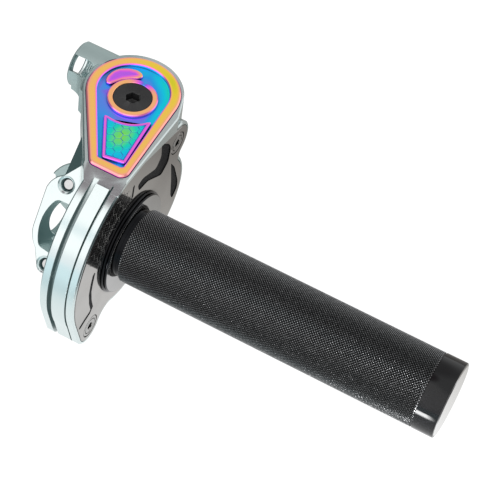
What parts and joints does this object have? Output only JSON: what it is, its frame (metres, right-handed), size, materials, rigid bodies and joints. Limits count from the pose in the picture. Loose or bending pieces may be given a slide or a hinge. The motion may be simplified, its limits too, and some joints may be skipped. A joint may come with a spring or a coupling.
{
  "type": "motorcycle throttle grip",
  "caption": "Twist throttle for a handlebar: knurled grip on a tube that turns a cable drum in a milled housing, with a cable pulley under an anodised cover and a split bar clamp.",
  "frame": {"origin": "centre of the grip's end face, on the handlebar's axis", "axes": "+X along the handlebar out of the grip's end, +Y from the grip to the cable pulley, +Z out of the pulley cover"},
  "size_m": [0.1965, 0.0992, 0.0781],
  "materials": {
    "satin_aluminium": "satin bead-blasted silver with a faint blue-green tint",
    "machined_aluminium": "turned",
    "polished_plate": "polished gunmetal",
    "polished_steel": "bright",
    "black_steel": "black oxide, satin",
    "rainbow_cover": "colour-shifting anodised and polished",
    "brass_cage": "pressed",
    "black_anodised": "black anodised, satin",
    "black_knurled": "black, fine diamond knurl",
    "black_gloss": "gloss black anodised",
    "polished_cap": "bright turned",
    "white_nylon": "plain",
    "seal_rubber": "matt"
  },
  "bodies": {
    "housing": {"housing_body": "satin_aluminium", "face_plate": "polished_plate", "face_plate_screw_1": "polished_steel", "face_plate_screw_2": "polished_steel", "face_plate_screw_3": "polished_steel", "clamp_cap": "satin_aluminium", "clamp_screw_upper": "black_steel", "clamp_screw_lower": "black_steel", "pulley_cover": "rainbow_cover", "pulley_bolt": "black_steel", "pulley_spacer_lower": "polished_steel", "pulley_spacer_upper": "polished_steel", "pulley_bearing_inner": "polished_steel", "tube_bearing_outer": "polished_steel", "thrust_washer": "white_nylon", "dust_seal": "seal_rubber"},
    "twist": {"throttle_tube": "black_anodised", "cable_drum": "machined_aluminium", "drum_screw_1": "polished_steel", "drum_screw_2": "polished_steel", "drum_screw_3": "polished_steel", "grip_collar": "black_anodised", "grip_sleeve": "black_knurled", "grip_end_ring": "black_gloss", "grip_end_cap": "polished_cap", "bar_bush_inner": "white_nylon", "bar_bush_outer": "white_nylon", "tube_bearing_inner": "polished_steel"},
    "tube_balls": {"tube_bearing_cage": "brass_cage"},
    "pulley_wheel": {"pulley": "machined_aluminium", "pulley_bearing_outer": "polished_steel"},
    "pulley_balls": {"pulley_bearing_cage": "brass_cage"}
  },
  "joints": [
    {"name": "throttle", "type": "hinge", "parent": "housing", "child": "twist", "pos_m": [0, 0, 0], "axis": [1, 0, 0], "range_deg": [0, 75]},
    {"name": "tube_bearing_roll", "type": "hinge", "parent": "housing", "child": "tube_balls", "pos_m": [-0.1564, 0, 0], "axis": [1, 0, 0], "range_deg": [0, 36]},
    {"name": "pulley_spin", "type": "hinge", "parent": "housing", "child": "pulley_wheel", "pos_m": [-0.1642, 0.0319, 0.034], "axis": [0, 0, 1], "range_deg": [-202, 0]},
    {"name": "pulley_bearing_roll", "type": "hinge", "parent": "housing", "child": "pulley_balls", "pos_m": [-0.1642, 0.0319, 0.034], "axis": [0, 0, 1], "range_deg": [-119, 0]}
  ],
  "couplings": [
    {"joint": "tube_bearing_roll", "follows": "throttle", "ratio": 0.4667},
    {"joint": "pulley_spin", "follows": "throttle", "ratio": -2.6772},
    {"joint": "pulley_bearing_roll", "follows": "throttle", "ratio": -1.5609}
  ]
}
